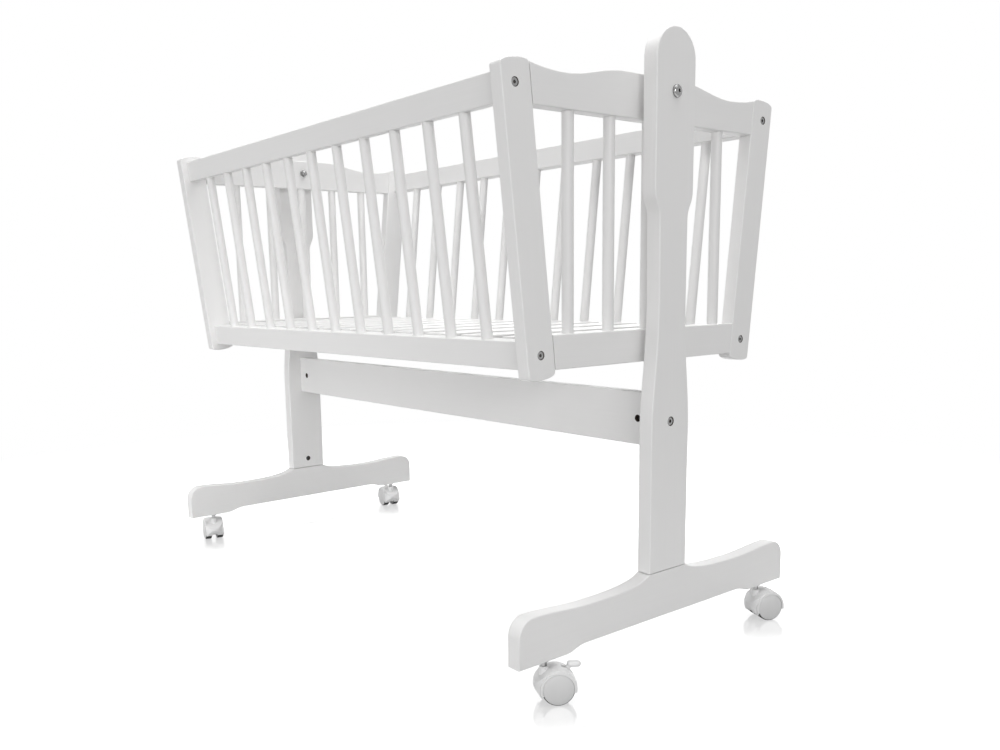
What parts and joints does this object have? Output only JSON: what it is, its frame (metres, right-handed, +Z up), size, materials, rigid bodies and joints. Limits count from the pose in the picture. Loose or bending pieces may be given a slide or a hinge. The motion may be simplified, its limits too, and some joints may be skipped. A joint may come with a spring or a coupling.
{
  "type": "swinging cradle",
  "caption": "Baby cradle of white-painted timber with outward-leaning dowelled sides and a slatted base, swinging between two shaped uprights on feet with castors.",
  "frame": {"origin": "on the floor under the middle of the stand", "axes": "+X along the cradle to its near end, +Y across it, +Z up"},
  "size_m": [1.0765, 0.541, 0.822],
  "materials": {
    "painted_wood": "white satin paint",
    "slat_paint": "white satin paint",
    "steel": "bright zinc plate",
    "nylon": "natural nylon",
    "hood_plastic": "semi-gloss moulding",
    "wheel_plastic": "fine matt moulding"
  },
  "bodies": {
    "stand": {"upright_near": "painted_wood", "foot_near": "painted_wood", "pivot_bolt_near": "steel", "pivot_spacer_near": "nylon", "pivot_cap_nut_near": "steel", "castor_stem_near_left": "steel", "castor_stem_near_right": "steel", "upright_far": "painted_wood", "foot_far": "painted_wood", "pivot_bolt_far": "steel", "pivot_spacer_far": "nylon", "pivot_cap_nut_far": "steel", "castor_stem_far_left": "steel", "castor_stem_far_right": "steel", "stretcher": "painted_wood"},
    "cradle": {"head_rail_near": "painted_wood", "end_rail_with_dowels_near": "painted_wood", "corner_post_near_left": "painted_wood", "corner_post_near_right": "painted_wood", "head_rail_far": "painted_wood", "end_rail_with_dowels_far": "painted_wood", "corner_post_far_left": "painted_wood", "corner_post_far_right": "painted_wood", "slatted_base": "slat_paint", "side_top_rail_left": "painted_wood", "side_bottom_rail_left": "painted_wood", "side_dowel_left_01": "painted_wood", "side_dowel_left_02": "painted_wood", "side_dowel_left_03": "painted_wood", "side_dowel_left_04": "painted_wood", "side_dowel_left_05": "painted_wood", "side_dowel_left_06": "painted_wood", "side_dowel_left_07": "painted_wood", "side_dowel_left_08": "painted_wood", "side_dowel_left_09": "painted_wood", "side_dowel_left_10": "painted_wood", "side_dowel_left_11": "painted_wood", "side_top_rail_right": "painted_wood", "side_bottom_rail_right": "painted_wood", "side_dowel_right_01": "painted_wood", "side_dowel_right_02": "painted_wood", "side_dowel_right_03": "painted_wood", "side_dowel_right_04": "painted_wood", "side_dowel_right_05": "painted_wood", "side_dowel_right_06": "painted_wood", "side_dowel_right_07": "painted_wood", "side_dowel_right_08": "painted_wood", "side_dowel_right_09": "painted_wood", "side_dowel_right_10": "painted_wood", "side_dowel_right_11": "painted_wood"},
    "castor_near_left": {"castor_housing_near_left": "hood_plastic"},
    "wheels_near_left": {"castor_wheels_near_left": "wheel_plastic"},
    "lever_near_left": {"brake_lever_near_left": "hood_plastic"},
    "castor_near_right": {"castor_housing_near_right": "hood_plastic"},
    "wheels_near_right": {"castor_wheels_near_right": "wheel_plastic"},
    "castor_far_left": {"castor_housing_far_left": "hood_plastic"},
    "wheels_far_left": {"castor_wheels_far_left": "wheel_plastic"},
    "castor_far_right": {"castor_housing_far_right": "hood_plastic"},
    "wheels_far_right": {"castor_wheels_far_right": "wheel_plastic"},
    "lever_far_right": {"brake_lever_far_right": "hood_plastic"}
  },
  "joints": [
    {"name": "cradle_swing", "type": "hinge", "parent": "stand", "child": "cradle", "pos_m": [0, 0, 0.745], "axis": [1, 0, 0], "range_deg": [-20, 20]},
    {"name": "swivel_near_left", "type": "hinge", "parent": "stand", "child": "castor_near_left", "pos_m": [0.497, -0.221, 0.045], "axis": [0, 0, 1], "continuous": true},
    {"name": "roll_near_left", "type": "hinge", "parent": "castor_near_left", "child": "wheels_near_left", "pos_m": [0.50544, -0.208, 0.02082], "axis": [-0.8387, 0.5446, 0], "continuous": true},
    {"name": "brake_near_left", "type": "hinge", "parent": "castor_near_left", "child": "lever_near_left", "pos_m": [0.5107, -0.1999, 0.02952], "axis": [-0.8387, 0.5446, 0], "range_deg": [0, 15]},
    {"name": "swivel_near_right", "type": "hinge", "parent": "stand", "child": "castor_near_right", "pos_m": [0.497, 0.221, 0.045], "axis": [0, 0, 1], "continuous": true},
    {"name": "roll_near_right", "type": "hinge", "parent": "castor_near_right", "child": "wheels_near_right", "pos_m": [0.50306, 0.23527, 0.02082], "axis": [-0.9205, 0.3907, 0], "continuous": true},
    {"name": "swivel_far_left", "type": "hinge", "parent": "stand", "child": "castor_far_left", "pos_m": [-0.497, -0.221, 0.045], "axis": [0, 0, 1], "continuous": true},
    {"name": "roll_far_left", "type": "hinge", "parent": "castor_far_left", "child": "wheels_far_left", "pos_m": [-0.51197, -0.21699, 0.02082], "axis": [-0.2588, -0.9659, 0], "continuous": true},
    {"name": "swivel_far_right", "type": "hinge", "parent": "stand", "child": "castor_far_right", "pos_m": [-0.497, 0.221, 0.045], "axis": [0, 0, 1], "continuous": true},
    {"name": "roll_far_right", "type": "hinge", "parent": "castor_far_right", "child": "wheels_far_right", "pos_m": [-0.51216, 0.22422, 0.02082], "axis": [-0.2079, -0.9781, 0], "continuous": true},
    {"name": "brake_far_right", "type": "hinge", "parent": "castor_far_right", "child": "lever_far_right", "pos_m": [-0.52161, 0.22623, 0.02952], "axis": [-0.2079, -0.9781, 0], "range_deg": [0, 15]}
  ]
}
